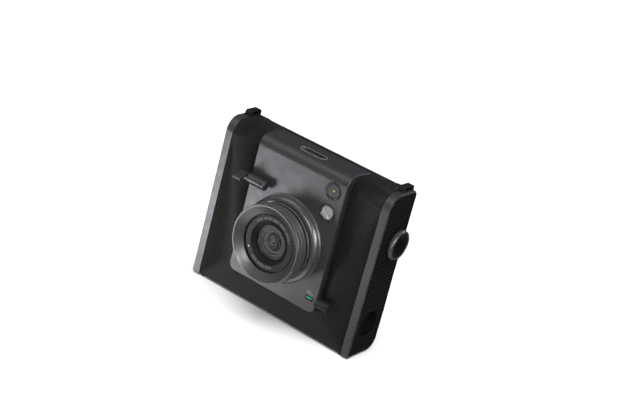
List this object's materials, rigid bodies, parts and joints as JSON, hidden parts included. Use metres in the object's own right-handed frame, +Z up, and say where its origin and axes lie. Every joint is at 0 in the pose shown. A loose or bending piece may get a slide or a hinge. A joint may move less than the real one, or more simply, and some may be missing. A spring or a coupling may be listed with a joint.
{
  "type": "instant camera",
  "caption": "Wide-format instant camera with a ribbed black grip, a satin metal face plate, a turned lens, a shutter lever, a screen on the back and a film slot in the top edge.",
  "frame": {"origin": "middle of the base, level with the underside of the feet", "axes": "+X to the right seen from the front, +Y from the lens to the back, +Z up"},
  "size_m": [0.1457, 0.0638, 0.125],
  "materials": {
    "case_black": "fine matt black moulded plastic",
    "grip_sheet": "black grip sheet with a fine woven rib",
    "trim_metal": "satin graphite paint on metal",
    "plate_metal": "satin graphite paint on metal",
    "lens_metal": "dark anodised, fine turned lines",
    "mark_black": "matt black with pale tick marks",
    "lever_metal": "satin graphite paint",
    "dark_metal": "dark anodised",
    "bright_metal": "brushed steel",
    "clear_glass": "clear coated glass",
    "mirror_glass": "polished convex mirror",
    "gloss_black": "gloss black",
    "button_black": "satin black plastic",
    "rubber_black": "matt black rubber",
    "lamp_cream": "pale lamp reflector",
    "inner_plastic": "plain black plastic",
    "roller_rubber": "grey black rubber on steel",
    "motor_steel": "plated steel",
    "board_green": "green solder mask",
    "cell_grey": "grey wrapped cell"
  },
  "bodies": {
    "case": {"front_cover": "case_black", "left_cheek": "case_black", "rear_cover": "case_black", "front_skin": "grip_sheet", "left_skin": "grip_sheet", "right_skin": "grip_sheet", "left_trim": "trim_metal", "right_trim": "trim_metal", "face_plate": "plate_metal", "film_exit_lip": "gloss_black", "top_indicator": "gloss_black", "strap_lugs": "trim_metal", "feet": "rubber_black", "tripod_socket": "bright_metal", "case_fasteners": "bright_metal", "lens_collar": "lens_metal", "lens_barrel": "lens_metal", "lens_bezel": "lens_metal", "name_ring": "mark_black", "front_glass": "clear_glass", "lens_retainer": "case_black", "front_lens": "clear_glass", "sensor_board": "board_green", "flash_bezel": "dark_metal", "flash_window": "clear_glass", "flash_led": "lamp_cream", "mirror_bezel": "dark_metal", "selfie_mirror": "mirror_glass", "shutter_housing": "plate_metal", "mode_window": "clear_glass", "dial_bush": "bright_metal", "port_block": "inner_plastic", "door_hinge_pin": "bright_metal", "film_chamber": "case_black", "film_pack": "inner_plastic", "battery": "cell_grey", "main_board": "board_green", "print_head": "inner_plastic", "feed_motor": "motor_steel"},
    "shutter": {"shutter_lever": "lever_metal"},
    "ring": {"control_ring": "lens_metal"},
    "wide_switch": {"wide_lever": "lever_metal"},
    "dial": {"effects_dial": "lever_metal"},
    "crank": {"crank_disc": "dark_metal"},
    "crank_arm": {"crank_handle": "bright_metal"},
    "port_flap": {"port_cover": "rubber_black"},
    "door": {"film_door": "case_black", "lcd_screen": "gloss_black"},
    "latch": {"door_latch": "button_black"},
    "pad": {"direction_pad": "button_black"},
    "ok_key": {"ok_button": "button_black"},
    "playback_key": {"playback_button": "button_black"},
    "back_key": {"back_button": "button_black"},
    "power_key": {"power_button": "button_black"},
    "drive": {"drive_roller": "roller_rubber"},
    "pinch": {"pinch_roller": "roller_rubber"},
    "pinion": {"motor_pinion": "motor_steel"},
    "claw": {"pick_claw": "inner_plastic"},
    "focus": {"focus_carrier": "inner_plastic", "rear_lens": "clear_glass"}
  },
  "joints": [
    {"name": "shutter_press", "type": "hinge", "parent": "case", "child": "shutter", "pos_m": [-0.039, -0.0148, 0.0909], "axis": [1, 0, 0], "range_deg": [0, 12], "stiffness_Nm_per_rad": 0.1, "springref_deg": -5.73},
    {"name": "ring_turn", "type": "hinge", "parent": "case", "child": "ring", "pos_m": [0, -0.028, 0.06028], "axis": [0, 1, 0], "continuous": true},
    {"name": "wide_turn", "type": "hinge", "parent": "case", "child": "wide_switch", "pos_m": [0.04, -0.0076, 0.03], "axis": [-1, 0, 0], "range_deg": [0, 45]},
    {"name": "dial_turn", "type": "hinge", "parent": "case", "child": "dial", "pos_m": [0.07, 0.0154, 0.0836], "axis": [1, 0, 0], "continuous": true},
    {"name": "crank_turn", "type": "hinge", "parent": "case", "child": "crank", "pos_m": [0.067, 0.0095, 0.0239], "axis": [1, 0, 0], "continuous": true},
    {"name": "crank_fold", "type": "hinge", "parent": "crank", "child": "crank_arm", "pos_m": [0.0682, 0.0095, 0.0175], "axis": [0, 1, 0], "range_deg": [0, 100]},
    {"name": "port_flap_open", "type": "hinge", "parent": "case", "child": "port_flap", "pos_m": [-0.0686, 0.009, 0.0259], "axis": [0, -1, 0], "range_deg": [0, 90]},
    {"name": "door_open", "type": "hinge", "parent": "case", "child": "door", "pos_m": [0, 0.0256, 0.0067], "axis": [-1, 0, 0], "range_deg": [0, 90]},
    {"name": "latch_slide", "type": "slide", "parent": "case", "child": "latch", "axis": [0, 0, 1], "range_m": [0, 0.004]},
    {"name": "pad_press", "type": "slide", "parent": "door", "child": "pad", "axis": [0, -1, 0], "range_m": [0, 0.0005], "stiffness_N_per_m": 1500, "springref_m": -0.0002},
    {"name": "ok_press", "type": "slide", "parent": "door", "child": "ok_key", "axis": [0, -1, 0], "range_m": [0, 0.0005], "stiffness_N_per_m": 1500, "springref_m": -0.0002},
    {"name": "playback_press", "type": "slide", "parent": "door", "child": "playback_key", "axis": [0, -1, 0], "range_m": [0, 0.0005], "stiffness_N_per_m": 1500, "springref_m": -0.0002},
    {"name": "back_press", "type": "slide", "parent": "door", "child": "back_key", "axis": [0, -1, 0], "range_m": [0, 0.0005], "stiffness_N_per_m": 1500, "springref_m": -0.0002},
    {"name": "power_press", "type": "slide", "parent": "door", "child": "power_key", "axis": [0, -1, 0], "range_m": [0, 0.0005], "stiffness_N_per_m": 1500, "springref_m": -0.0002},
    {"name": "drive_turn", "type": "hinge", "parent": "case", "child": "drive", "pos_m": [0, 0.01285, 0.1126], "axis": [1, 0, 0], "continuous": true},
    {"name": "pinch_turn", "type": "hinge", "parent": "case", "child": "pinch", "pos_m": [0, 0.01835, 0.1126], "axis": [1, 0, 0], "continuous": true},
    {"name": "pinion_turn", "type": "hinge", "parent": "case", "child": "pinion", "pos_m": [0.058, 0.0065, 0.1113], "axis": [1, 0, 0], "continuous": true},
    {"name": "claw_slide", "type": "slide", "parent": "case", "child": "claw", "axis": [0, 0, 1], "range_m": [0, 0.006]},
    {"name": "focus_slide", "type": "slide", "parent": "case", "child": "focus", "axis": [0, -1, 0], "range_m": [0, 0.0012]}
  ],
  "couplings": [
    {"joint": "pinch_turn", "follows": "drive_turn", "ratio": -1},
    {"joint": "pinion_turn", "follows": "drive_turn", "ratio": -2.25}
  ]
}
